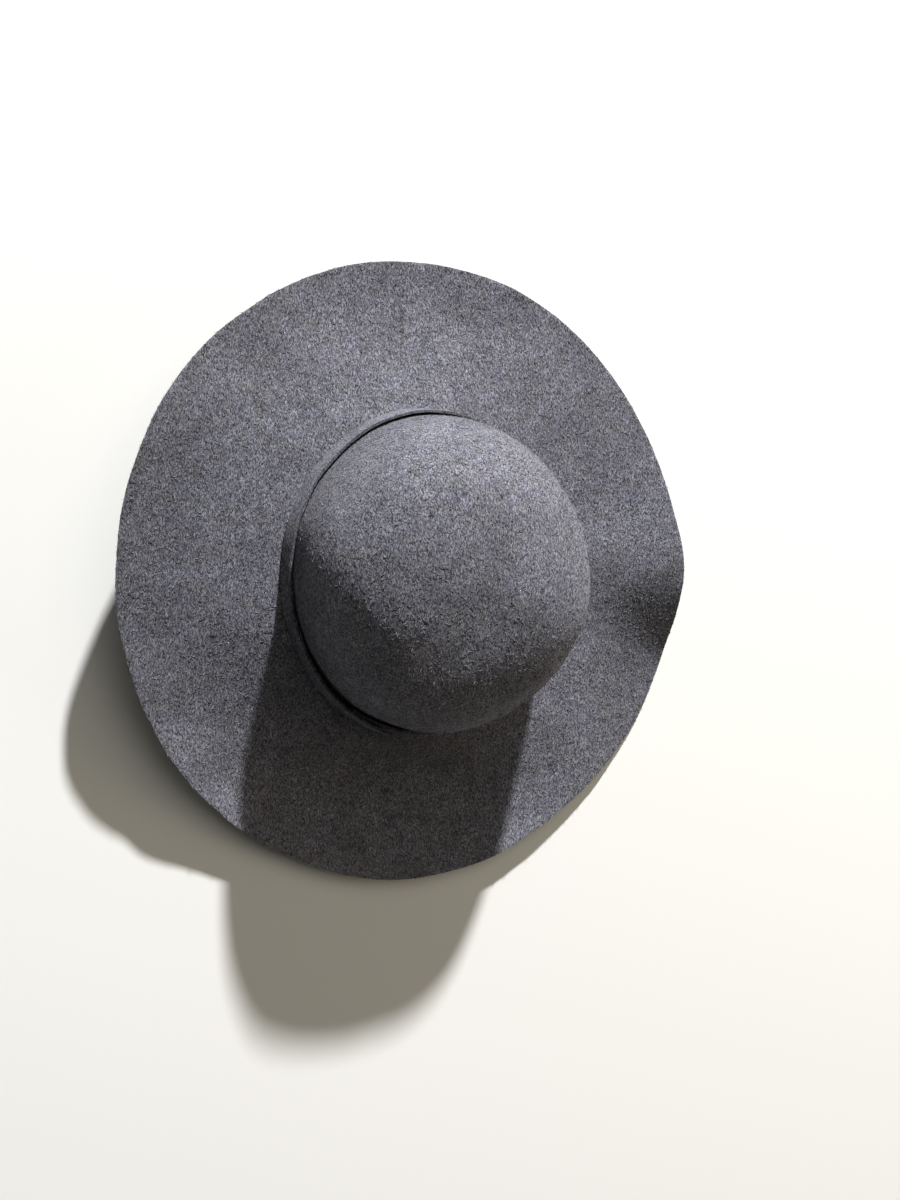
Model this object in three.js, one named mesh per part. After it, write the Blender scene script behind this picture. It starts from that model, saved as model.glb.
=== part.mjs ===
// A floppy felt hat: a round crown and a wide wavy brim blocked from one piece of felt,
// with a narrow strip of the same felt standing round the crown as its band.
// Millimetres, +Z up. The hat rests on the plane z = 0, its front towards -Y and the wearer's left towards +X,
// with the origin on that plane under the middle of the whole hat as seen from above.

import * as THREE from 'three';

// Driving sizes: the inside of the crown at its base, the crown's height over the brim and its lean
// towards the wearer's right in degrees, and the felt's thickness.
const HEAD_LENGTH = 196;
const HEAD_WIDTH = 180;
const CROWN_HEIGHT = 102;
const CROWN_LEAN = 6.5;
const FELT = 2;

// The brim: the curve that leads into it, the height of the felt at the crown's base, the width of the brim
// from the crown to its cut edge, and the height to which its highest wave lifts it.
const BASE_CURVE = 7;
const BASE_RISE = 18;
const BRIM_WIDTH = 100;
const BRIM_LIFT = 58;

// The band: its height and thickness, how far it stands off the crown's wall at its foot, how much nearer
// its upper edge comes as a share of that, how much of it laps, and the gap that it keeps to the felt under
// it and to itself.
const BAND_HEIGHT = 13;
const BAND_FELT = 1.8;
const BAND_STAND_OFF = 3.2;
const BAND_INWARD = 0.5;
const BAND_LAP = 26;
const SEAT_GAP = 0.3;

// The crown's section from side to top: 2 is an ellipse, and a larger number is squarer.
const CROWN_FULLNESS = 3.4;

// The brim, a row for each section round the hat, from the wearer's left round by the back.
// reach is how far out the cut edge lies, as a share of BRIM_WIDTH.
// middle and edge are the felt's height halfway out and at the cut edge, as shares of BRIM_LIFT.
// Felt that would come below the surface lies flat on it.
const BRIM_SECTIONS = [
  { angle: 0, reach: 1.06, middle: 0.60, edge: 0.86 },
  { angle: 30, reach: 1.04, middle: 0.35, edge: 0.49 },
  { angle: 60, reach: 1.04, middle: 0.11, edge: 0.20 },
  { angle: 90, reach: 1.05, middle: -0.08, edge: 0.19 },
  { angle: 120, reach: 1.00, middle: 0.10, edge: 0.125 },
  { angle: 150, reach: 1.02, middle: 0.12, edge: 0.02 },
  { angle: 180, reach: 0.94, middle: 0.21, edge: 0.33 },
  { angle: 210, reach: 0.945, middle: 0.08, edge: 0.13 },
  { angle: 240, reach: 0.985, middle: 0.07, edge: -0.06 },
  { angle: 270, reach: 1.00, middle: 0.05, edge: -0.04 },
  { angle: 300, reach: 1.02, middle: 0.28, edge: 0.40 },
  { angle: 330, reach: 1.07, middle: 0.60, edge: 0.99 },
];

// Soft folds of the brim between those sections. spread is in degrees to each side.
// start is how far out a fold begins, and rise is its height at the cut edge, as a share of BRIM_LIFT.
const BRIM_FOLDS = [
  { angle: 180, spread: 11, start: 0.1, rise: 0.10 },
  { angle: 160, spread: 9, start: 0.1, rise: -0.08 },
];

// Soft planes pressed into the crown, and a swelling of negative depth, seen from the middle of its base.
// up is a direction's angle above the brim, spread is in degrees, and depth is a share of CROWN_HEIGHT.
const CROWN_DENTS = [
  { angle: 65, up: 58, spread: 22, depth: 0.080 },
  { angle: 105, up: 44, spread: 20, depth: 0.060 },
  { angle: 142, up: 30, spread: 18, depth: 0.025 },
  { angle: 215, up: 50, spread: 20, depth: 0.050 },
  { angle: 258, up: 42, spread: 18, depth: 0.060 },
  { angle: 350, up: 22, spread: 24, depth: -0.045 },
];

// How soon the brim leaves the level ring under the band, as a share of the way out.
const BRIM_EASE = 0.05;
// The height over which the felt comes down softly onto the surface.
const LANDING = 2;
// The dents fade out over this share of the dome's height, so that the wall behind the band stays true.
const DENT_FADE = 0.25;

// The band's ends: where they lap, the turn over which the outer end climbs over the inner one,
// how slantwise it is cut, all in degrees, and how far it springs away at its tip.
const LAP_ANGLE = 57;
const LAP_CLIMB = 40;
const LAP_SLANT = 5;
const LAP_SPRING = 1.2;

// How finely the surfaces are divided.
const ROUND_STEPS = 84;
const CROWN_STEPS = 13;
const CURVE_STEPS = 4;
const BRIM_STEPS = 10;
const BAND_STEPS = 96;

// The rest follows. The section is drawn along the middle of the felt, half a wall from each face.
const HALF_FELT = FELT / 2;
const CROWN_HALF_LENGTH = HEAD_LENGTH / 2 + HALF_FELT;
const CROWN_HALF_WIDTH = HEAD_WIDTH / 2 + HALF_FELT;
const CROWN_RADIUS = (CROWN_HALF_LENGTH + CROWN_HALF_WIDTH) / 2;
const CURVE_RADIUS = BASE_CURVE + HALF_FELT;
const BRIM_START = CROWN_RADIUS + CURVE_RADIUS;
const BRIM_END = CROWN_RADIUS + BRIM_WIDTH;
const BRIM_LEVEL = BASE_RISE + HALF_FELT;
const DOME_BASE = BRIM_LEVEL + CURVE_RADIUS;
const DOME_HEIGHT = CROWN_HEIGHT - CURVE_RADIUS;
const FULL_TURN = 360;

const { clamp, degToRad, lerp, radToDeg, smoothstep } = THREE.MathUtils;

// An ellipse's radius at an angle round it.
function ovalRadius(halfWidth, halfLength, angle) {
  const across = halfLength * Math.cos(angle);
  const along = halfWidth * Math.sin(angle);
  return (halfWidth * halfLength) / Math.hypot(across, along);
}

// How far one angle lies from another, the short way round, in degrees.
function turnBetween(angle, other) {
  const turn = (angle - other) % FULL_TURN;
  return turn - FULL_TURN * Math.round(turn / FULL_TURN);
}

// A column of the sections' table at any angle, on one smooth closed curve through its rows.
function aroundBrim(column, degrees) {
  const rows = BRIM_SECTIONS.length;
  const place = ((degrees / FULL_TURN) * rows + rows) % rows;
  const row = Math.floor(place);
  const value = (k) => BRIM_SECTIONS[(row + k + rows) % rows][column];
  const leaving = (value(1) - value(-1)) / 2;
  const arriving = (value(2) - value(0)) / 2;
  const share = place - row;
  const cube = 2 * (value(0) - value(1)) + leaving + arriving;
  const square = 3 * (value(1) - value(0)) - 2 * leaving - arriving;
  return ((cube * share + square) * share + leaving) * share + value(0);
}

// The height of the felt's underside, at an angle and a share of the way out to the cut edge.
function brimHeight(degrees, out) {
  const across = BRIM_START * Math.cos(degToRad(degrees));
  const start = BASE_RISE + across * Math.sin(degToRad(CROWN_LEAN));
  const middle = BRIM_LIFT * aroundBrim('middle', degrees);
  const edge = BRIM_LIFT * aroundBrim('edge', degrees);
  const share = ((1 + BRIM_EASE) * out * out) / (out + BRIM_EASE);
  let height = start * (1 - share) * (1 - 2 * share);
  height += middle * 4 * share * (1 - share) + edge * share * (2 * share - 1);
  for (const fold of BRIM_FOLDS) {
    const turn = turnBetween(degrees, fold.angle) / fold.spread;
    height += BRIM_LIFT * fold.rise * smoothstep(out, fold.start, 1) * Math.exp(-turn * turn);
  }
  return landed(height);
}

// A height as it is where felt comes down on the surface: level there, with a soft curve before it.
function landed(height) {
  if (height <= -LANDING) return 0;
  return height < LANDING ? (height + LANDING) ** 2 / (4 * LANDING) : height;
}

// The middle of the felt from the crown's top to the cut edge, as distances from the axis and heights.
function feltSection() {
  const points = [];
  for (let i = 0; i < CROWN_STEPS; i++) {
    const turn = ((Math.PI / 2) * i) / CROWN_STEPS;
    const out = CROWN_RADIUS * Math.sin(turn) ** (2 / CROWN_FULLNESS);
    const up = DOME_HEIGHT * Math.cos(turn) ** (2 / CROWN_FULLNESS);
    points.push(new THREE.Vector2(out, DOME_BASE + up));
  }
  for (let i = 0; i < CURVE_STEPS; i++) {
    const turn = ((Math.PI / 2) * i) / CURVE_STEPS;
    const out = BRIM_START - CURVE_RADIUS * Math.cos(turn);
    points.push(new THREE.Vector2(out, DOME_BASE - CURVE_RADIUS * Math.sin(turn)));
  }
  for (let i = 0; i <= BRIM_STEPS; i++) {
    points.push(new THREE.Vector2(lerp(BRIM_START, BRIM_END, i / BRIM_STEPS), BRIM_LEVEL));
  }
  return points;
}

// A face of the felt: the section moved half a wall outwards, or inwards for a negative side.
function feltFace(section, side) {
  const last = section.length - 1;
  return section.map((point, i) => {
    const before = section[Math.max(i - 1, 0)];
    const after = section[Math.min(i + 1, last)];
    const along = after.clone().sub(before).normalize();
    const level = i === 0 || i === last;
    const normal = level ? new THREE.Vector2(0, 1) : new THREE.Vector2(-along.y, along.x);
    return point.clone().addScaledVector(normal, side * HALF_FELT);
  });
}

// Moves a point of the round section to its place on the oval, wavy, dented and leaning hat.
function shapeFelt(point) {
  const radius = Math.hypot(point.x, point.y);
  const angle = Math.atan2(point.y, point.x);
  const degrees = radToDeg(angle);
  const oval = ovalRadius(CROWN_HALF_WIDTH, CROWN_HALF_LENGTH, angle);
  const out = clamp((radius - BRIM_START) / (BRIM_END - BRIM_START), 0, 1);
  const extra = out * BRIM_WIDTH * (aroundBrim('reach', degrees) - 1);
  const beyond = Math.max(radius - CROWN_RADIUS, 0);
  const placed = (oval * Math.min(radius, CROWN_RADIUS)) / CROWN_RADIUS + beyond + extra;
  point.x = placed * Math.cos(angle);
  point.y = placed * Math.sin(angle);
  if (out > 0) {
    point.z += brimHeight(degrees, out) - BASE_RISE;
  } else {
    dentCrown(point);
    leanCrown(point);
  }
}

// Presses a point of the crown inwards at each dent, on both faces alike.
function dentCrown(point) {
  const middle = new THREE.Vector3(0, 0, DOME_BASE);
  const direction = point.clone().sub(middle);
  const shown = smoothstep(direction.z, 0, DENT_FADE * DOME_HEIGHT);
  direction.normalize();
  let depth = 0;
  for (const dent of CROWN_DENTS) {
    const fromTop = degToRad(90 - dent.up);
    const round = degToRad(dent.angle + 90);
    const towards = new THREE.Vector3().setFromSphericalCoords(1, fromTop, round);
    towards.set(towards.x, -towards.z, towards.y);
    const away = (1 - direction.dot(towards)) / (1 - Math.cos(degToRad(dent.spread)));
    depth += dent.depth * CROWN_HEIGHT * Math.exp(-away);
  }
  point.addScaledVector(direction, -depth * shown);
}

// Leans a point towards the wearer's right, about the middle of the crown's base.
function leanCrown(point) {
  point.z -= BASE_RISE;
  point.applyAxisAngle(new THREE.Vector3(0, 1, 0), -degToRad(CROWN_LEAN));
  point.z += BASE_RISE;
}

// Moves every vertex of a geometry by a function of its place.
function reshape(geometry, move) {
  const places = geometry.getAttribute('position');
  const point = new THREE.Vector3();
  for (let i = 0; i < places.count; i++) {
    point.fromBufferAttribute(places, i);
    move(point);
    places.setXYZ(i, point.x, point.y, point.z);
  }
  geometry.computeVertexNormals();
  return geometry;
}

// Crown and brim: the felt's closed section turned round the axis, then shaped.
function crownAndBrim() {
  const section = feltSection();
  const outline = [...feltFace(section, -1), ...feltFace(section, 1).reverse()];
  const felt = new THREE.LatheGeometry(outline, ROUND_STEPS);
  felt.rotateX(Math.PI / 2);
  return reshape(felt, shapeFelt);
}

// How high the base curve holds a strip's lower edge that stands this far off the crown's wall.
// The strip keeps its clearance to the curve's flat steps, which lie a little above its true arc.
function seatHeight(standOff, clearance) {
  const inwards = Math.max(BASE_CURVE - standOff, 0);
  const stepRise = BASE_CURVE * (1 - Math.cos(Math.PI / (4 * CURVE_STEPS)));
  const reach = BASE_CURVE - stepRise - clearance;
  return BASE_CURVE - Math.sqrt(Math.max(reach ** 2 - inwards ** 2, 0));
}

// The band: a straight strip of felt bent round the crown, its outer end lapped over its inner one.
function hatBand() {
  const halfWidth = HEAD_WIDTH / 2 + FELT;
  const halfLength = HEAD_LENGTH / 2 + FELT;
  const whole = FULL_TURN + radToDeg((2 * BAND_LAP) / (halfWidth + halfLength));
  const foot = BASE_RISE + FELT + seatHeight(BAND_STAND_OFF, SEAT_GAP);
  const strip = new THREE.BoxGeometry(1, BAND_FELT, BAND_HEIGHT, BAND_STEPS, 1, 1);
  return reshape(strip, (point) => {
    const turned = whole * (point.x + 0.5);
    const tip = smoothstep(turned, FULL_TURN, whole);
    const slant = (LAP_SLANT * tip * point.z) / BAND_HEIGHT;
    const angle = degToRad(LAP_ANGLE + turned + slant);
    const climbed = smoothstep(turned, FULL_TURN - LAP_CLIMB, FULL_TURN) * (BAND_FELT + SEAT_GAP);
    const inward = BAND_STAND_OFF * BAND_INWARD * (point.z / BAND_HEIGHT + 0.5);
    const stand = BAND_STAND_OFF + BAND_FELT / 2 + climbed + tip * LAP_SPRING - inward;
    const radius = ovalRadius(halfWidth, halfLength, angle) + stand - point.y;
    point.set(radius * Math.cos(angle), radius * Math.sin(angle), foot + BAND_HEIGHT / 2 + point.z);
    leanCrown(point);
  });
}

function piece(name, geometry, color, roughness) {
  const mesh = new THREE.Mesh(geometry, new THREE.MeshStandardMaterial({ color, roughness, metalness: 0 }));
  mesh.name = name;
  return mesh;
}

const hat = new THREE.Group();
hat.add(piece('crown_and_brim', crownAndBrim(), 0x6e6f78, 0.95));
hat.add(piece('hat_band', hatBand(), 0x74757e, 0.9));

// The pieces are made round the middle of the crown's base, and the whole hat then moves over the origin.
const seen = new THREE.Box3().setFromObject(hat).getCenter(new THREE.Vector3());
hat.position.set(-seen.x, -seen.y, 0);

export default hat;
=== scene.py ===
"""A floppy hat of grey melange wool felt, lying on its brim, with a narrow band of the same felt."""

import math

import bmesh
import bpy
from mathutils import Matrix, Vector


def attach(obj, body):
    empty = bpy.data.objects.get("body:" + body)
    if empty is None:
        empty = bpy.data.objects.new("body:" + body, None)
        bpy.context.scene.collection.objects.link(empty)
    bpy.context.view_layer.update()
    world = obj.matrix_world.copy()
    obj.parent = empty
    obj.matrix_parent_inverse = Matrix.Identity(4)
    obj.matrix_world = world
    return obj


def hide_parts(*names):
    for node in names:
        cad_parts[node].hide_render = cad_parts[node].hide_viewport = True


bl_info = {
    "name": "Floppy Felt Hat",
    "version": (1, 0, 0),
    "blender": (4, 5, 0),
    "location": "View3D > Sidebar > Felt Hat",
    "description": "Builds a soft felt hat, its band and its loose fibres round a fixed frame",
    "category": "Object",
}

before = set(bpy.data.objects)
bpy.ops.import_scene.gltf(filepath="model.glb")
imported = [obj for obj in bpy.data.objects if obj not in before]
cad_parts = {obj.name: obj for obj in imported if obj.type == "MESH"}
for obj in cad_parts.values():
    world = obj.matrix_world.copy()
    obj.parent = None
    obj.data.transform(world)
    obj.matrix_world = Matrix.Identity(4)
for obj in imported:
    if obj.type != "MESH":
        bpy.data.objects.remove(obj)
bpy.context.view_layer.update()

MM = 0.001
BODY = "root"
FELT_NODE = "crown_and_brim"
BAND_NODE = "hat_band"
FELT_PIECE = "felt_crown_and_brim"
FULL_TURN = 2 * math.pi
# Taken from the three parts of a noise's colour, which run from 0 to 1, to centre them on nothing.
HALVES = (0.5, 0.5, 0.5)
# The least that a point's coordinates may be: its height stays at or above the plane the hat rests on,
# and the other two aren't held, as the hat never reaches a metre out.
LOWEST = (-1.0, -1.0, 0.0)

# Vertices of the frame's meshes that lie closer than this are one.
DOUBLES = 0.001 * MM
# Triangles that meet at less than this are paired into one quad.
PAIR_ANGLE = math.radians(60)
# Faces that meet at more than this meet at a cut edge of the felt.
CUT_ANGLE = math.radians(50)
# A face between two cut edges is the felt's cut thickness where it is narrower than this.
CUT_WIDTH = 3 * MM
# How often each piece's faces are divided to smooth it.
BRIM_STEPS = 2
BAND_STEPS = 3

# The felt's pattern, by the width of what is drawn: tufts, nap, mottles, patches of either grey, and clouds.
TUFT_WIDTH = 0.74 * MM
NAP_WIDTH = 0.9 * MM
MOTTLE_WIDTH = 6.5 * MM
PATCH_WIDTH = 11 * MM
CLOUD_WIDTH = 28 * MM
# A tuft's stretch along each axis, its tilts about the first two, and the turns about the third of the
# tufts that cross.
TUFT_STRETCH = (1, 0.42, 0.8)
TUFT_TILT = (math.radians(25), math.radians(-20))
TUFT_TURNS = [math.radians(angle) for angle in (0, 60, 120)]
# Where a tuft's noise starts to show and is full, the turn of the dark tufts from the light, in radians,
# and the places in the noise that the two are read from.
LIGHT_TUFTS = {"From Min": 0.52, "From Max": 0.74}
DARK_TUFTS = {"From Min": 0.53, "From Max": 0.76}
DARK_TURN = 0.5
LIGHT_PLACE = 0.1
DARK_PLACE = 4.1
# The pattern wanders by this much over this width, so that no fibre runs straight.
CURL_WIDTH = 6 * MM
CURL_REACH = 3 * MM
# How far apart burrs lie, and from where to where, as a share of that, a burr fades.
BURR_SPACING = 13 * MM
BURR_EDGE = {"From Min": 0.05, "From Max": 0.13}
# Noise lies between these nearly everywhere.
NOISE_RANGE = {"From Min": 0.3, "From Max": 0.7}
# The felt's and the band's place in the noise, so that the two differ.
FELT_SEED = 0
BAND_SEED = 7

# Felt that comes nearer than this to the floor carries no loose fibres.
FIBRE_CLEARANCE = 1.5 * MM
# How far a loose fibre bows, as a share of its length, and how far it stands off, as a share of its width.
FIBRE_BOW = 0.4
FIBRE_LIFT = 0.25
# Points of a fibre that lie closer than this share of its width are one, which closes its pointed ends.
FIBRE_MERGE = 0.1
# How far a fibre may roll about its length and rise at one end, in radians, and how its size varies.
FIBRE_TILT = (0.1, 0.15)
FIBRE_SIZES = (0.5, 1.4)
# How long a stretch of the loose fibres keeps about one tone.
TONE_WIDTH = 5 * MM
# What the fibres' places are drawn from, so that the light and the dark ones lie in different places.
LIGHT_SEED = 11
DARK_SEED = 23

# The middle of the crown's base, which the camera turns round.
CROWN_FOOT = Vector((-5.85 * MM, -2.5 * MM, 0))
# The middle of the picture, from the foot of the crown, as distances in the picture's plane.
AIM_RIGHT = 24.3 * MM
AIM_UP = -19.7 * MM
# The camera's picture is this wide on its long side, in millimetres.
PICTURE_SIDE = 36

# Where the two soft boxes stand: the azimuth from the hat's front towards the wearer's left, the elevation
# above the floor, the distance from the hat, and the box's width.
OVERHEAD_BOX = (math.radians(-20), math.radians(60), 3.0, 2.5)
SIDE_BOX = (math.radians(-95), math.radians(22), 2.2, 1.2)
WHITE = (1, 1, 1)
# The floor's width, how far from its middle it starts to run out into the backdrop, how far it lies under
# the hat so that the two never share a plane, and the backdrop's radius.
FLOOR_WIDTH = 5
FLOOR_PLAIN = 0.7
FLOOR_DROP = 0.1 * MM
BACKDROP_RADIUS = 9


def linear(hex_colour):
    """An sRGB hex colour as linear red, green, blue and alpha."""
    shares = [int(hex_colour[i : i + 2], 16) / 255 for i in (1, 3, 5)]
    return [s / 12.92 if s <= 0.04045 else ((s + 0.055) / 1.055) ** 2.4 for s in shares] + [1.0]


def add_node(tree, kind, inputs=None, **settings):
    """Adds a node with its settings, and links each input that is given to a socket or sets its value."""
    node = tree.nodes.new(kind)
    for name, value in settings.items():
        setattr(node, name, value)
    for name, value in (inputs or {}).items():
        if isinstance(value, bpy.types.NodeSocket):
            tree.links.new(value, node.inputs[name])
        else:
            node.inputs[name].default_value = value
    return node


def new_material(name):
    """A material whose node tree is still empty, and that tree."""
    material = bpy.data.materials.new(name)
    material.use_nodes = True
    material.node_tree.nodes.clear()
    return material, material.node_tree


class FeltHatSizes(bpy.types.PropertyGroup):
    """Sizes and colours of the hat's felt and of its loose fibres."""

    unevenness: bpy.props.FloatProperty(
        name="Unevenness",
        description="How far the blocked felt strays from its smooth form",
        default=1.2 * MM,
        unit="LENGTH",
    )
    unevenness_size: bpy.props.FloatProperty(
        name="Unevenness Size",
        description="The width of one soft hollow of the felt",
        default=42 * MM,
        unit="LENGTH",
    )
    lump_height: bpy.props.FloatProperty(
        name="Lump Height",
        description="How far small lumps of wool stand out",
        default=0.15 * MM,
        unit="LENGTH",
    )
    lump_size: bpy.props.FloatProperty(
        name="Lump Size",
        description="The width of a small lump of wool",
        default=8 * MM,
        unit="LENGTH",
    )
    cut_rounding: bpy.props.FloatProperty(
        name="Cut Rounding",
        description="How far a cut edge of the felt is worn round",
        default=0.35 * MM,
        unit="LENGTH",
    )
    # Painted shade: the brim's cut thickness is darkened to this share of the felt's tone, for the shade
    # along its edge.
    brim_cut_painted_shade: bpy.props.FloatProperty(
        name="Brim Cut Painted Shade",
        description="How bright the brim's cut thickness is beside the felt's face",
        default=0.78,
    )
    # Painted shade: the band's cut thickness is darkened to this share of the felt's tone, for the shade
    # along its cut top and in the gap behind it.
    band_cut_painted_shade: bpy.props.FloatProperty(
        name="Band Cut Painted Shade",
        description="How bright the band's cut thickness is beside the felt's face",
        default=0.62,
    )
    cool_grey: bpy.props.FloatVectorProperty(
        name="Cool Grey",
        description="The bluish one of the two greys that the wool is blended from",
        subtype="COLOR",
        size=4,
        default=linear("#61616d"),
    )
    warm_grey: bpy.props.FloatVectorProperty(
        name="Warm Grey",
        description="The neutral one of the two greys that the wool is blended from",
        subtype="COLOR",
        size=4,
        default=linear("#616163"),
    )
    light_wool: bpy.props.FloatVectorProperty(
        name="Light Wool",
        description="The light fibres, both in the felt and loose on it",
        subtype="COLOR",
        size=4,
        default=linear("#8f8f9b"),
    )
    dark_wool: bpy.props.FloatVectorProperty(
        name="Dark Wool",
        description="The dark fibres in the felt, and its burrs",
        subtype="COLOR",
        size=4,
        default=linear("#303039"),
    )
    dark_fibre: bpy.props.FloatVectorProperty(
        name="Dark Fibre",
        description="The loose dark fibres, which catch more light than the ones in the felt",
        subtype="COLOR",
        size=4,
        default=linear("#3c3c46"),
    )
    fibre_length: bpy.props.FloatProperty(
        name="Fibre Length",
        description="The length of a loose fibre on the felt",
        default=3.6 * MM,
        unit="LENGTH",
    )
    fibre_width: bpy.props.FloatProperty(
        name="Fibre Width",
        description="The width of a loose fibre at its middle, drawn coarse enough to show",
        default=0.3 * MM,
        unit="LENGTH",
    )
    light_fibre_count: bpy.props.IntProperty(
        name="Light Fibre Count",
        description="How many loose light fibres lie on the felt",
        default=28000,
        min=0,
    )
    dark_fibre_count: bpy.props.IntProperty(
        name="Dark Fibre Count",
        description="How many loose dark fibres lie on the felt",
        default=17000,
        min=0,
    )


class StudioSizes(bpy.types.PropertyGroup):
    """The camera, the lights, the floor and the backdrop."""

    camera_distance: bpy.props.FloatProperty(
        name="Camera Distance",
        description="From the camera to the foot of the crown",
        default=0.95,
        unit="LENGTH",
    )
    camera_azimuth: bpy.props.FloatProperty(
        name="Camera Azimuth",
        description="The camera's direction round the hat, from its front towards the wearer's left",
        default=math.radians(76),
        subtype="ANGLE",
    )
    camera_elevation: bpy.props.FloatProperty(
        name="Camera Elevation",
        description="The camera's direction above the floor",
        default=math.radians(72),
        subtype="ANGLE",
    )
    focal_length: bpy.props.FloatProperty(
        name="Focal Length",
        description="In millimetres, for a picture whose long side is 36 mm",
        default=43.3,
    )
    key_azimuth: bpy.props.FloatProperty(
        name="Key Azimuth",
        description="The key light's direction round the hat, from its front towards the wearer's left",
        default=math.radians(-11),
        subtype="ANGLE",
    )
    key_elevation: bpy.props.FloatProperty(
        name="Key Elevation",
        description="The key light's direction above the floor",
        default=math.radians(23.5),
        subtype="ANGLE",
    )
    key_distance: bpy.props.FloatProperty(
        name="Key Distance",
        description="From the hat to the key light",
        default=6.0,
        unit="LENGTH",
    )
    key_size: bpy.props.FloatProperty(
        name="Key Size",
        description="The width of the key light's round diffuser, which softens the shadows",
        default=0.28,
        unit="LENGTH",
    )
    key_power: bpy.props.FloatProperty(
        name="Key Power",
        description="The key light's power in watts",
        default=800,
    )
    overhead_power: bpy.props.FloatProperty(
        name="Overhead Power",
        description="The power in watts of the large soft box over the hat's front",
        default=18,
    )
    side_power: bpy.props.FloatProperty(
        name="Side Power",
        description="The power in watts of the warm soft box beside the hat",
        default=9,
    )
    room_strength: bpy.props.FloatProperty(
        name="Room Strength",
        description="How bright the pale room is that fills the shadows",
        default=0.07,
    )
    room_colour: bpy.props.FloatVectorProperty(
        name="Room Colour",
        description="The warm white of the room and of the overhead soft box",
        subtype="COLOR",
        size=4,
        default=linear("#fffaea"),
    )
    side_colour: bpy.props.FloatVectorProperty(
        name="Side Colour",
        description="The warmer white of the soft box beside the hat",
        subtype="COLOR",
        size=4,
        default=linear("#ffe9c8"),
    )
    floor_colour: bpy.props.FloatVectorProperty(
        name="Floor",
        description="The colour of the plain floor",
        subtype="COLOR",
        size=4,
        default=linear("#f0f0ee"),
    )
    backdrop_colour: bpy.props.FloatVectorProperty(
        name="Backdrop",
        description="The colour of the plain wall round the hat",
        subtype="COLOR",
        size=4,
        default=linear("#fffcf5"),
    )
    backdrop_glow: bpy.props.FloatProperty(
        name="Backdrop Glow",
        description="How bright the evenly lit wall round the hat looks",
        default=0.93,
    )


def direction(azimuth, elevation):
    """The unit vector towards an azimuth from the hat's front and an elevation above the floor."""
    level = math.cos(elevation)
    return Vector((math.sin(azimuth) * level, -math.cos(azimuth) * level, math.sin(elevation)))


def tufts(tree, curled, turn, start, shown, seed):
    """How much of a tuft of fibres lies at each place, for fibres that run one way."""
    laid = add_node(
        tree,
        "ShaderNodeMapping",
        {
            "Vector": curled,
            "Location": (start + seed, start, 0),
            "Rotation": (*TUFT_TILT, turn),
            "Scale": TUFT_STRETCH,
        },
    ).outputs["Vector"]
    value = add_node(
        tree, "ShaderNodeTexNoise", {"Vector": laid, "Scale": 1 / TUFT_WIDTH, "Detail": 0.6}
    ).outputs["Fac"]
    return add_node(
        tree, "ShaderNodeMapRange", {"Value": value, **shown}, interpolation_type="SMOOTHSTEP"
    ).outputs["Result"]


def largest(tree, values):
    """The largest of several values."""
    most = values[0]
    for value in values[1:]:
        most = add_node(tree, "ShaderNodeMath", {0: most, 1: value}, operation="MAXIMUM").outputs[0]
    return most


# The cut tone given here darkens the felt's cut thickness as painted shade.
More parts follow.
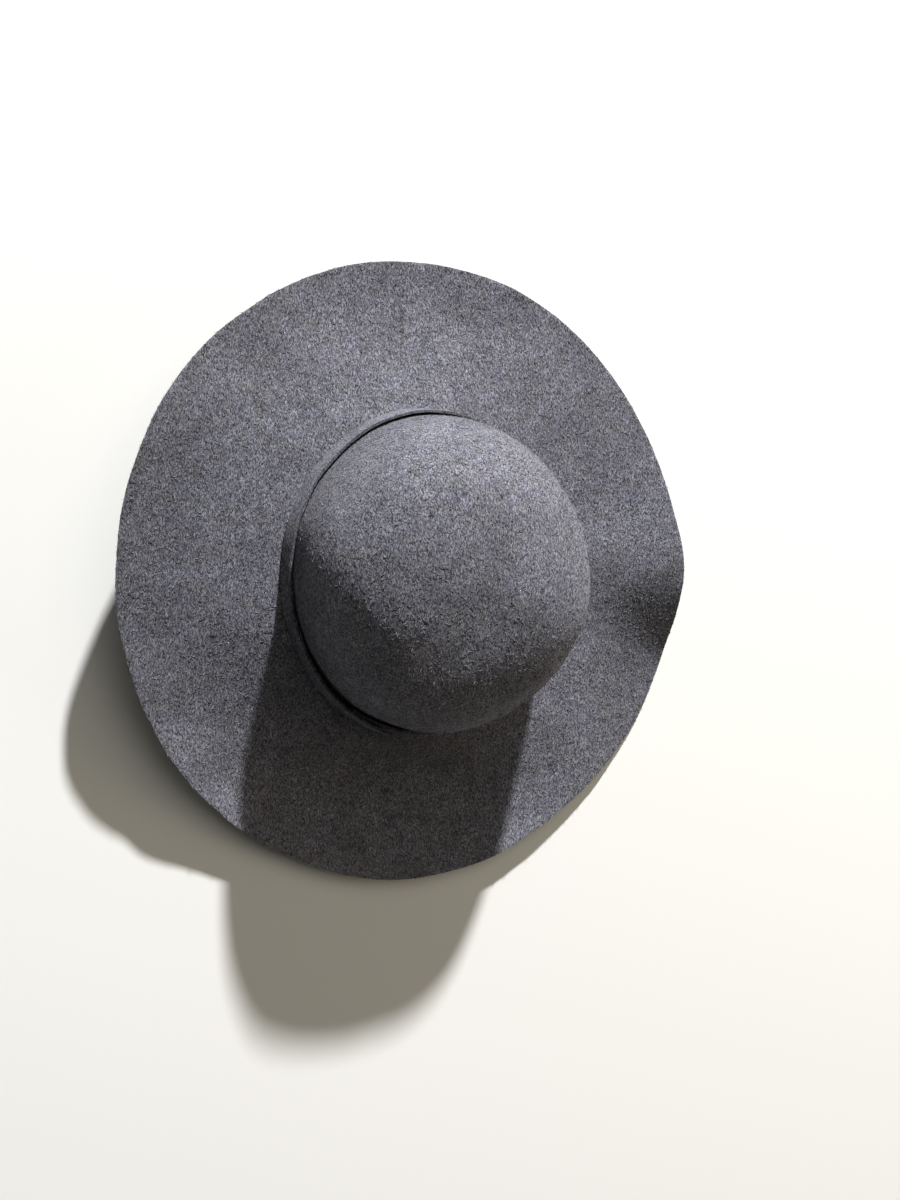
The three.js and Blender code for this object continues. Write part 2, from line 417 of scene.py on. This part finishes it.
def melange_felt(name, sizes, cut_painted_shade, seed):
    """Wool felt, milled from a blend of dyed greys and left raw.

    Short light and dark fibres lie every way over a cool grey ground that clouds softly to a neutral one.
    A few dark burrs show, and the nap gives the matt surface a faint light sheen where it turns away.
    The real fibres are about 0.03 mm thick, too fine to show, so tufts of them about 1 mm wide are drawn.
    """
    material, tree = new_material(name)
    dark_wool = tuple(sizes.dark_wool)
    place = add_node(tree, "ShaderNodeTexCoord").outputs["Object"]
    wander = add_node(
        tree, "ShaderNodeTexNoise", {"Vector": place, "Scale": 1 / CURL_WIDTH, "Detail": 1.0}
    ).outputs["Color"]
    centred = add_node(
        tree, "ShaderNodeVectorMath", {0: wander, 1: HALVES}, operation="SUBTRACT"
    ).outputs["Vector"]
    curled = add_node(
        tree,
        "ShaderNodeVectorMath",
        {0: centred, 1: (CURL_REACH,) * 3, 2: place},
        operation="MULTIPLY_ADD",
    ).outputs["Vector"]

    turns = list(enumerate(TUFT_TURNS))
    light = largest(
        tree, [tufts(tree, curled, turn, LIGHT_PLACE + i, LIGHT_TUFTS, seed) for i, turn in turns]
    )
    dark = largest(
        tree, [tufts(tree, curled, turn + DARK_TURN, DARK_PLACE + i, DARK_TUFTS, seed) for i, turn in turns]
    )

    patches = add_node(
        tree, "ShaderNodeTexNoise", {"Vector": place, "Scale": 1 / PATCH_WIDTH, "Detail": 2.0}
    ).outputs["Fac"]
    blend = add_node(
        tree, "ShaderNodeMapRange", {"Value": patches, "From Min": 0.35, "From Max": 0.65}
    ).outputs["Result"]
    ground = add_node(
        tree,
        "ShaderNodeMix",
        {0: blend, 6: tuple(sizes.warm_grey), 7: tuple(sizes.cool_grey)},
        data_type="RGBA",
    ).outputs[2]
    clouds = add_node(
        tree, "ShaderNodeTexNoise", {"Vector": place, "Scale": 1 / CLOUD_WIDTH, "Detail": 2.0}
    ).outputs["Fac"]
    cloudy = add_node(
        tree, "ShaderNodeMapRange", {"Value": clouds, **NOISE_RANGE, "To Min": 0.82, "To Max": 1.08}
    ).outputs["Result"]
    mottles = add_node(
        tree, "ShaderNodeTexNoise", {"Vector": curled, "Scale": 1 / MOTTLE_WIDTH, "Detail": 1.5}
    ).outputs["Fac"]
    mottled = add_node(
        tree, "ShaderNodeMapRange", {"Value": mottles, **NOISE_RANGE, "To Min": 0.86, "To Max": 1.14}
    ).outputs["Result"]
    uneven = add_node(tree, "ShaderNodeMath", {0: cloudy, 1: mottled}, operation="MULTIPLY").outputs[0]
    # Painted shade: the cut thickness is darkened to stand for the shade along the felt's cut edges.
    cut = add_node(tree, "ShaderNodeAttribute", attribute_name="cut_face").outputs["Fac"]
    painted_cut_shade = add_node(
        tree, "ShaderNodeMapRange", {"Value": cut, "To Min": 1.0, "To Max": cut_painted_shade}
    ).outputs["Result"]
    mottles_and_cut_shade = add_node(tree, "ShaderNodeMath", {0: uneven, 1: painted_cut_shade}, operation="MULTIPLY").outputs[0]
    lit = add_node(
        tree, "ShaderNodeMix", {0: light, 6: ground, 7: tuple(sizes.light_wool)}, data_type="RGBA"
    ).outputs[2]
    streaked = add_node(
        tree, "ShaderNodeMix", {0: dark, 6: lit, 7: dark_wool}, data_type="RGBA"
    ).outputs[2]
    clouded_and_cut_shaded = add_node(
        tree, "ShaderNodeVectorMath", {0: streaked, 3: mottles_and_cut_shade}, operation="SCALE"
    ).outputs["Vector"]

    # Burrs: dark specks about 2 mm wide, and most of them faint.
    burr = add_node(
        tree,
        "ShaderNodeTexVoronoi",
        {"Vector": curled, "Scale": 1 / BURR_SPACING, "Randomness": 1.0},
        feature="F1",
    ).outputs
    near = add_node(
        tree,
        "ShaderNodeMapRange",
        {"Value": burr["Distance"], **BURR_EDGE, "To Min": 1, "To Max": 0},
        interpolation_type="SMOOTHSTEP",
    ).outputs["Result"]
    chance = add_node(tree, "ShaderNodeSeparateColor", {"Color": burr["Color"]}).outputs["Red"]
    shown = add_node(
        tree,
        "ShaderNodeMapRange",
        {"Value": chance, "From Min": 0.45, "From Max": 1.0, "To Min": 0, "To Max": 0.85},
    ).outputs["Result"]
    speck = add_node(tree, "ShaderNodeMath", {0: near, 1: shown}, operation="MULTIPLY").outputs[0]
    colour = add_node(
        tree, "ShaderNodeMix", {0: speck, 6: clouded_and_cut_shaded, 7: dark_wool}, data_type="RGBA"
    ).outputs[2]

    # Light tufts and the nap stand out, and dark tufts lie deeper.
    nap = add_node(
        tree, "ShaderNodeTexNoise", {"Vector": curled, "Scale": 1 / NAP_WIDTH, "Detail": 2.0}
    ).outputs["Fac"]
    raised = add_node(tree, "ShaderNodeMath", {0: light, 1: nap}, operation="ADD").outputs[0]
    height = add_node(tree, "ShaderNodeMath", {0: raised, 1: dark}, operation="SUBTRACT").outputs[0]
    bump = add_node(
        tree, "ShaderNodeBump", {"Height": height, "Strength": 0.5, "Distance": 0.1 * MM}
    ).outputs["Normal"]
    shader = add_node(
        tree,
        "ShaderNodeBsdfPrincipled",
        {
            "Base Color": colour,
            "Roughness": 0.95,
            "Specular IOR Level": 0.15,
            "Sheen Weight": 0.06,
            "Sheen Roughness": 0.55,
            "Normal": bump,
        },
    )
    add_node(tree, "ShaderNodeOutputMaterial", {"Surface": shader.outputs["BSDF"]})
    return material


def loose_wool(name, colour):
    """Single coarse wool fibres, teased out of the felt: matt, faintly shiny and uneven in tone."""
    material, tree = new_material(name)
    place = add_node(tree, "ShaderNodeTexCoord").outputs["Object"]
    tone = add_node(tree, "ShaderNodeTexNoise", {"Vector": place, "Scale": 1 / TONE_WIDTH}).outputs["Fac"]
    share = add_node(
        tree, "ShaderNodeMapRange", {"Value": tone, **NOISE_RANGE, "To Min": 0.6, "To Max": 1.05}
    ).outputs["Result"]
    shade = add_node(
        tree, "ShaderNodeVectorMath", {0: tuple(colour)[:3], 3: share}, operation="SCALE"
    ).outputs["Vector"]
    shader = add_node(
        tree,
        "ShaderNodeBsdfPrincipled",
        {"Base Color": shade, "Roughness": 0.9, "Specular IOR Level": 0.2, "Sheen Weight": 0.06},
    )
    add_node(tree, "ShaderNodeOutputMaterial", {"Surface": shader.outputs["BSDF"]})
    return material


def painted_floor(name, colour):
    """A plain matt painted floor with no pattern to draw the eye, which runs out softly into the wall."""
    material, tree = new_material(name)
    place = add_node(tree, "ShaderNodeTexCoord").outputs["Object"]
    away = add_node(tree, "ShaderNodeVectorMath", {0: place}, operation="LENGTH").outputs["Value"]
    gone = add_node(
        tree,
        "ShaderNodeMapRange",
        {"Value": away, "From Min": FLOOR_PLAIN, "From Max": FLOOR_WIDTH / 2},
        interpolation_type="SMOOTHSTEP",
    ).outputs["Result"]
    paint = add_node(
        tree,
        "ShaderNodeBsdfPrincipled",
        {"Base Color": tuple(colour), "Roughness": 0.9, "Specular IOR Level": 0.1},
    ).outputs["BSDF"]
    clear = add_node(tree, "ShaderNodeBsdfTransparent").outputs["BSDF"]
    shader = add_node(tree, "ShaderNodeMixShader", {0: gone, 1: paint, 2: clear}).outputs["Shader"]
    add_node(tree, "ShaderNodeOutputMaterial", {"Surface": shader})
    return material


def even_backdrop(name, colour, glow):
    """A plain pale studio wall, lit so evenly that no shade or fold shows on it."""
    material, tree = new_material(name)
    shader = add_node(tree, "ShaderNodeEmission", {"Color": tuple(colour), "Strength": glow})
    add_node(tree, "ShaderNodeOutputMaterial", {"Surface": shader.outputs["Emission"]})
    return material


def new_tree(name, sockets):
    """A geometry node tree with the given inputs, as (name, socket type), and those inputs' sockets."""
    tree = bpy.data.node_groups.new(name, "GeometryNodeTree")
    tree.interface.new_socket("Geometry", in_out="INPUT", socket_type="NodeSocketGeometry")
    for socket, kind in sockets:
        tree.interface.new_socket(socket, in_out="INPUT", socket_type=kind)
    tree.interface.new_socket("Geometry", in_out="OUTPUT", socket_type="NodeSocketGeometry")
    given = tree.nodes.new("NodeGroupInput").outputs
    return tree, given


def end_tree(tree, geometry, given):
    """Gives a tree's finished geometry the material, and hands it on."""
    done = add_node(
        tree, "GeometryNodeSetMaterial", {"Geometry": geometry, "Material": given["Material"]}
    ).outputs["Geometry"]
    add_node(tree, "NodeGroupOutput", {"Geometry": done})


def strayed(tree, place, size, height):
    """An offset that both faces of the felt share, because it depends on the place alone."""
    scale = add_node(tree, "ShaderNodeMath", {0: 1.0, 1: size}, operation="DIVIDE").outputs[0]
    wander = add_node(
        tree, "ShaderNodeTexNoise", {"Vector": place, "Scale": scale, "Detail": 1.0}
    ).outputs["Color"]
    centred = add_node(
        tree, "ShaderNodeVectorMath", {0: wander, 1: HALVES}, operation="SUBTRACT"
    ).outputs["Vector"]
    whole = add_node(tree, "ShaderNodeMath", {0: height, 1: 2.0}, operation="MULTIPLY").outputs[0]
    return add_node(
        tree, "ShaderNodeVectorMath", {0: centred, 3: whole}, operation="SCALE"
    ).outputs["Vector"]


def felt_surface_tree():
    """Smooths a felt form between its cut edges, then gives it the soft unevenness of blocked wool."""
    tree, given = new_tree(
        "Felt Surface",
        [
            ("Steps", "NodeSocketInt"),
            ("Unevenness", "NodeSocketFloat"),
            ("Unevenness Size", "NodeSocketFloat"),
            ("Lump Height", "NodeSocketFloat"),
            ("Lump Size", "NodeSocketFloat"),
            ("Material", "NodeSocketMaterial"),
        ],
    )
    cut = add_node(tree, "GeometryNodeInputNamedAttribute", {"Name": "crease_edge"}, data_type="FLOAT")
    smooth = add_node(
        tree,
        "GeometryNodeSubdivisionSurface",
        {"Mesh": given["Geometry"], "Level": given["Steps"], "Edge Crease": cut.outputs["Attribute"]},
    ).outputs["Mesh"]
    place = add_node(tree, "GeometryNodeInputPosition").outputs["Position"]
    uneven = strayed(tree, place, given["Unevenness Size"], given["Unevenness"])
    lumps = strayed(tree, place, given["Lump Size"], given["Lump Height"])
    offset = add_node(tree, "ShaderNodeVectorMath", {0: uneven, 1: lumps}, operation="ADD").outputs["Vector"]
    moved = add_node(tree, "ShaderNodeVectorMath", {0: place, 1: offset}, operation="ADD").outputs["Vector"]
    above_floor = add_node(
        tree, "ShaderNodeVectorMath", {0: moved, 1: LOWEST}, operation="MAXIMUM"
    ).outputs["Vector"]
    shaped = add_node(
        tree, "GeometryNodeSetPosition", {"Geometry": smooth, "Position": above_floor}
    ).outputs["Geometry"]
    real = add_node(tree, "GeometryNodeRealizeInstances", {"Geometry": shaped}).outputs["Geometry"]
    end_tree(tree, real, given)
    return tree


def one_fibre(tree, given):
    """A curved closed sliver that tapers to both ends, as long and as wide as the tree's inputs say."""
    half = add_node(tree, "ShaderNodeMath", {0: given["Length"], 1: 0.5}, operation="MULTIPLY").outputs[0]
    back = add_node(tree, "ShaderNodeMath", {0: half, 1: -1.0}, operation="MULTIPLY").outputs[0]
    bow = add_node(
        tree, "ShaderNodeMath", {0: given["Length"], 1: FIBRE_BOW}, operation="MULTIPLY"
    ).outputs[0]
    tail = add_node(tree, "ShaderNodeCombineXYZ", {"X": back}).outputs["Vector"]
    head = add_node(tree, "ShaderNodeCombineXYZ", {"X": half}).outputs["Vector"]
    middle = add_node(tree, "ShaderNodeCombineXYZ", {"Y": bow}).outputs["Vector"]
    line = add_node(
        tree, "GeometryNodeCurveQuadraticBezier", {"Start": tail, "Middle": middle, "End": head}
    ).outputs["Curve"]
    # Two straight lengths are enough to bend a fibre this fine, and keep the piece light.
    bent = add_node(tree, "GeometryNodeResampleCurve", {"Curve": line, "Count": 3}).outputs["Curve"]
    along = add_node(tree, "GeometryNodeSplineParameter").outputs["Factor"]
    turn = add_node(tree, "ShaderNodeMath", {0: along, 1: math.pi}, operation="MULTIPLY").outputs[0]
    taper = add_node(tree, "ShaderNodeMath", {0: turn}, operation="SINE").outputs[0]
    radius = add_node(tree, "ShaderNodeMath", {0: given["Width"], 1: 0.5}, operation="MULTIPLY").outputs[0]
    section = add_node(
        tree, "GeometryNodeCurvePrimitiveCircle", {"Resolution": 3, "Radius": radius}
    ).outputs["Curve"]
    sleeve = add_node(
        tree, "GeometryNodeCurveToMesh", {"Curve": bent, "Profile Curve": section, "Scale": taper}
    ).outputs["Mesh"]
    near = add_node(
        tree, "ShaderNodeMath", {0: given["Width"], 1: FIBRE_MERGE}, operation="MULTIPLY"
    ).outputs[0]
    return add_node(
        tree, "GeometryNodeMergeByDistance", {"Geometry": sleeve, "Distance": near}
    ).outputs["Geometry"]


def loose_fibres_tree():
    """Lays curved fibres every way over a surface, except where it comes down on the floor."""
    tree, given = new_tree(
        "Loose Fibres",
        [
            ("Count", "NodeSocketInt"),
            ("Length", "NodeSocketFloat"),
            ("Width", "NodeSocketFloat"),
            ("Lift", "NodeSocketFloat"),
            ("Clearance", "NodeSocketFloat"),
            ("Seed", "NodeSocketInt"),
            ("Material", "NodeSocketMaterial"),
        ],
    )
    fibre = one_fibre(tree, given)
    area = add_node(tree, "GeometryNodeInputMeshFaceArea").outputs["Area"]
    whole = add_node(
        tree,
        "GeometryNodeAttributeStatistic",
        {"Geometry": given["Geometry"], "Attribute": area},
        domain="FACE",
    ).outputs["Sum"]
    density = add_node(tree, "ShaderNodeMath", {0: given["Count"], 1: whole}, operation="DIVIDE").outputs[0]
    position = add_node(tree, "GeometryNodeInputPosition").outputs["Position"]
    height = add_node(tree, "ShaderNodeSeparateXYZ", {"Vector": position}).outputs["Z"]
    clear = add_node(
        tree, "ShaderNodeMath", {0: height, 1: given["Clearance"]}, operation="GREATER_THAN"
    ).outputs[0]
    spread = add_node(
        tree,
        "GeometryNodeDistributePointsOnFaces",
        {"Mesh": given["Geometry"], "Selection": clear, "Density": density, "Seed": given["Seed"]},
    ).outputs
    roll, rise = FIBRE_TILT
    tilt = add_node(
        tree,
        "FunctionNodeRandomValue",
        {"Min": (-roll, -rise, 0.0), "Max": (roll, rise, FULL_TURN), "Seed": given["Seed"]},
        data_type="FLOAT_VECTOR",
    ).outputs["Value"]
    twist = add_node(tree, "FunctionNodeEulerToRotation", {"Euler": tilt}).outputs["Rotation"]
    laid = add_node(
        tree,
        "FunctionNodeRotateRotation",
        {"Rotation": spread["Rotation"], "Rotate By": twist},
        rotation_space="LOCAL",
    ).outputs["Rotation"]
    raised = add_node(
        tree, "ShaderNodeVectorMath", {0: spread["Normal"], 3: given["Lift"]}, operation="SCALE"
    ).outputs["Vector"]
    points = add_node(
        tree, "GeometryNodeSetPosition", {"Geometry": spread["Points"], "Offset": raised}
    ).outputs["Geometry"]
    smallest, biggest = FIBRE_SIZES
    size = add_node(
        tree,
        "FunctionNodeRandomValue",
        {2: smallest, 3: biggest, "Seed": given["Seed"]},
        data_type="FLOAT",
    ).outputs[1]
    instances = add_node(
        tree,
        "GeometryNodeInstanceOnPoints",
        {"Points": points, "Instance": fibre, "Rotation": laid, "Scale": size},
    ).outputs["Instances"]
    real = add_node(tree, "GeometryNodeRealizeInstances", {"Geometry": instances}).outputs["Geometry"]
    above_floor = add_node(
        tree, "ShaderNodeVectorMath", {0: position, 1: LOWEST}, operation="MAXIMUM"
    ).outputs["Vector"]
    kept = add_node(
        tree, "GeometryNodeSetPosition", {"Geometry": real, "Position": above_floor}
    ).outputs["Geometry"]
    end_tree(tree, kept, given)
    return tree


def new_piece(name, mesh):
    """An object at the origin for a mesh."""
    piece = bpy.data.objects.new(name, mesh)
    bpy.context.scene.collection.objects.link(piece)
    return piece


def grow(piece, tree, values):
    """Puts a geometry node tree on a piece, with its inputs' values by name."""
    modifier = piece.modifiers.new(tree.name, "NODES")
    modifier.node_group = tree
    for item in tree.interface.items_tree:
        if item.item_type == "SOCKET" and item.in_out == "INPUT" and item.name in values:
            modifier[item.identifier] = values[item.name]


def settle(piece):
    """Turns what a piece's modifiers make into its plain mesh, and takes the modifiers off."""
    evaluated = piece.evaluated_get(bpy.context.evaluated_depsgraph_get())
    made = bpy.data.meshes.new_from_object(evaluated)
    if not made.polygons:
        raise RuntimeError(f"{piece.name} came out with no faces")
    made.name = piece.name
    piece.modifiers.clear()
    piece.data = made


def felt_form(node, name):
    """A copy of a node's mesh, with its doubles merged, its triangles paired and its cut edges creased."""
    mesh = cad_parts[node].data.copy()
    mesh.name = name
    mesh.materials.clear()
    form = bmesh.new()
    form.from_mesh(mesh)
    bmesh.ops.remove_doubles(form, verts=form.verts, dist=DOUBLES)
    bmesh.ops.join_triangles(
        form,
        faces=form.faces,
        angle_face_threshold=PAIR_ANGLE,
        angle_shape_threshold=PAIR_ANGLE,
        topology_influence=1.0,
    )
    crease = form.edges.layers.float.new("crease_edge")
    for edge in form.edges:
        edge[crease] = 1.0 if edge.calc_face_angle() > CUT_ANGLE else 0.0
    cut = form.faces.layers.float.new("cut_face")
    for face in form.faces:
        across = [edge.calc_length() for edge in face.edges if edge[crease] == 0.0]
        narrow = max(across, default=0.0) < CUT_WIDTH
        face[cut] = 1.0 if narrow and len(face.edges) - len(across) >= 2 else 0.0
    form.to_mesh(mesh)
    form.free()
    return mesh


def felt_piece(name, node, steps, material, sizes):
    """A finished piece of felt in place of a node."""
    piece = new_piece(name, felt_form(node, name))
    grow(
        piece,
        felt_surface_tree(),
        {
            "Steps": steps,
            "Unevenness": sizes.unevenness,
            "Unevenness Size": sizes.unevenness_size,
            "Lump Height": sizes.lump_height,
            "Lump Size": sizes.lump_size,
            "Material": material,
        },
    )
    rounding = piece.modifiers.new("Cut edge", "BEVEL")
    rounding.limit_method = "ANGLE"
    rounding.angle_limit = CUT_ANGLE
    rounding.width = sizes.cut_rounding
    rounding.segments = 2
    settle(piece)
    for face in piece.data.polygons:
        face.use_smooth = True
    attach(piece, BODY)
    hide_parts(node)
    return piece


def fibres_on(name, ground, material, count, sizes, seed):
    """A piece of loose fibres that lie on another piece."""
    piece = new_piece(name, ground.data.copy())
    grow(
        piece,
        loose_fibres_tree(),
        {
            "Count": count,
            "Length": sizes.fibre_length,
            "Width": sizes.fibre_width,
            "Lift": sizes.fibre_width * FIBRE_LIFT,
            "Clearance": FIBRE_CLEARANCE,
            "Seed": seed,
            "Material": material,
        },
    )
    settle(piece)
    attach(piece, BODY)


def add_floor(studio):
    """The plain floor that the hat lies on."""
    bpy.ops.mesh.primitive_plane_add(size=FLOOR_WIDTH, location=(0, 0, -FLOOR_DROP))
    floor = bpy.context.object
    floor.name = "floor"
    floor.data.materials.append(painted_floor("Matt painted floor, pale", studio.floor_colour))


def add_backdrop(studio):
    """The pale wall all round, which is only looked at: the lights alone light the hat."""
    bpy.ops.mesh.primitive_uv_sphere_add(radius=BACKDROP_RADIUS, location=(0, 0, 0))
    backdrop = bpy.context.object
    backdrop.name = "backdrop"
    wall = even_backdrop("Painted studio wall, pale", studio.backdrop_colour, studio.backdrop_glow)
    backdrop.data.materials.append(wall)
    backdrop.visible_diffuse = False
    backdrop.visible_glossy = False
    backdrop.visible_transmission = False
    backdrop.visible_shadow = False


def add_lamp(name, place, power, colour):
    """A round soft light facing the hat: its place is an azimuth, an elevation, a distance and its width."""
    azimuth, elevation, distance, width = place
    towards = direction(azimuth, elevation)
    lamp = bpy.data.lights.new(name, "AREA")
    lamp.shape = "DISK"
    lamp.size = width
    lamp.energy = power
    lamp.color = tuple(colour)[:3]
    light = bpy.data.objects.new(name, lamp)
    light.location = towards * distance
    light.rotation_euler = towards.to_track_quat("Z", "Y").to_euler()
    light.visible_camera = False
    bpy.context.scene.collection.objects.link(light)


def add_room(studio):
    """The pale room's faint light from every side, and colours shown as they are."""
    world = bpy.data.worlds.new("Pale room")
    world.use_nodes = True
    room = world.node_tree.nodes["Background"]
    room.inputs["Color"].default_value = tuple(studio.room_colour)
    room.inputs["Strength"].default_value = studio.room_strength
    bpy.context.scene.world = world
    bpy.context.scene.view_settings.view_transform = "Standard"


def add_camera(studio):
    """The camera at the photograph's viewing angle, with the hat's front towards the top of the picture."""
    back = direction(studio.camera_azimuth, studio.camera_elevation)
    up = Vector((0, -1, 0))
    up = (up - up.dot(back) * back).normalized()
    right = up.cross(back)
    seen = CROWN_FOOT + right * AIM_RIGHT + up * AIM_UP
    place = CROWN_FOOT + back * studio.camera_distance
    back = (place - seen).normalized()
    up = (up - up.dot(back) * back).normalized()
    turn = Matrix((up.cross(back), up, back)).transposed().to_4x4()
    camera = bpy.data.objects.new("camera", bpy.data.cameras.new("camera"))
    camera.matrix_world = Matrix.Translation(place) @ turn
    camera.data.lens = studio.focal_length
    camera.data.sensor_width = PICTURE_SIDE
    bpy.context.scene.collection.objects.link(camera)
    bpy.context.scene.camera = camera


class FELTHAT_OT_crown_and_brim(bpy.types.Operator):
    """Makes the crown and brim, blocked from one piece of felt"""

    bl_idname = "felthat.crown_and_brim"
    bl_label = "Crown and Brim"

    def execute(self, context):
        sizes = context.scene.felt_hat
        # The brim's cut thickness gets painted shade.
        material = melange_felt("Wool felt, grey melange, milled", sizes, sizes.brim_cut_painted_shade, FELT_SEED)
        felt_piece(FELT_PIECE, FELT_NODE, BRIM_STEPS, material, sizes)
        return {"FINISHED"}


class FELTHAT_OT_band(bpy.types.Operator):
    """Makes the band, a narrow strip of the same felt with its ends lapped"""

    bl_idname = "felthat.band"
    bl_label = "Band"

    def execute(self, context):
        sizes = context.scene.felt_hat
        # The band's cut thickness gets painted shade.
        material = melange_felt("Wool felt strip, grey melange, cut", sizes, sizes.band_cut_painted_shade, BAND_SEED)
        band = felt_piece("felt_band", BAND_NODE, BAND_STEPS, material, sizes)
        return {"FINISHED"}


class FELTHAT_OT_fibres(bpy.types.Operator):
    """Lays the loose light and dark fibres on the felt"""

    bl_idname = "felthat.fibres"
    bl_label = "Loose Fibres"

    def execute(self, context):
        sizes = context.scene.felt_hat
        ground = bpy.data.objects.get(FELT_PIECE)
        if ground is None:
            raise RuntimeError("The loose fibres need the crown and brim, which isn't made yet")
        light = loose_wool("Loose wool fibre, light", sizes.light_wool)
        dark = loose_wool("Loose wool fibre, dark", sizes.dark_fibre)
        fibres_on("light_fibres", ground, light, sizes.light_fibre_count, sizes, LIGHT_SEED)
        fibres_on("dark_fibres", ground, dark, sizes.dark_fibre_count, sizes, DARK_SEED)
        return {"FINISHED"}


class FELTHAT_OT_stage(bpy.types.Operator):
    """Sets up the floor, the backdrop, the soft lights and the camera"""

    bl_idname = "felthat.stage"
    bl_label = "Stage"

    def execute(self, context):
        studio = context.scene.felt_hat_studio
        add_floor(studio)
        add_backdrop(studio)
        key_box = (studio.key_azimuth, studio.key_elevation, studio.key_distance, studio.key_size)
        add_lamp("key", key_box, studio.key_power, WHITE)
        add_lamp("overhead", OVERHEAD_BOX, studio.overhead_power, studio.room_colour)
        add_lamp("side", SIDE_BOX, studio.side_power, studio.side_colour)
        add_room(studio)
        add_camera(studio)
        return {"FINISHED"}


class FELTHAT_PT_panel(bpy.types.Panel):
    """Lists the steps that make the hat"""

    bl_label = "Felt Hat"
    bl_idname = "FELTHAT_PT_panel"
    bl_space_type = "VIEW_3D"
    bl_region_type = "UI"
    bl_category = "Felt Hat"

    def draw(self, context):
        for group in (context.scene.felt_hat, context.scene.felt_hat_studio):
            for name in group.bl_rna.properties.keys():
                if name not in ("rna_type", "name"):
                    self.layout.prop(group, name)
        for step in OPERATORS:
            self.layout.operator(step.bl_idname)


OPERATORS = (FELTHAT_OT_stage, FELTHAT_OT_crown_and_brim, FELTHAT_OT_band, FELTHAT_OT_fibres)
CLASSES = (FeltHatSizes, StudioSizes, *OPERATORS, FELTHAT_PT_panel)


def register():
    for kind in CLASSES:
        bpy.utils.register_class(kind)
    bpy.types.Scene.felt_hat = bpy.props.PointerProperty(type=FeltHatSizes)
    bpy.types.Scene.felt_hat_studio = bpy.props.PointerProperty(type=StudioSizes)


def unregister():
    del bpy.types.Scene.felt_hat_studio
    del bpy.types.Scene.felt_hat
    for kind in reversed(CLASSES):
        bpy.utils.unregister_class(kind)


def main():
    """Makes the stage and the hat."""
    register()
    bpy.ops.felthat.stage()
    bpy.ops.felthat.crown_and_brim()
    bpy.ops.felthat.band()
    bpy.ops.felthat.fibres()


if __name__ == "__main__":
    main()
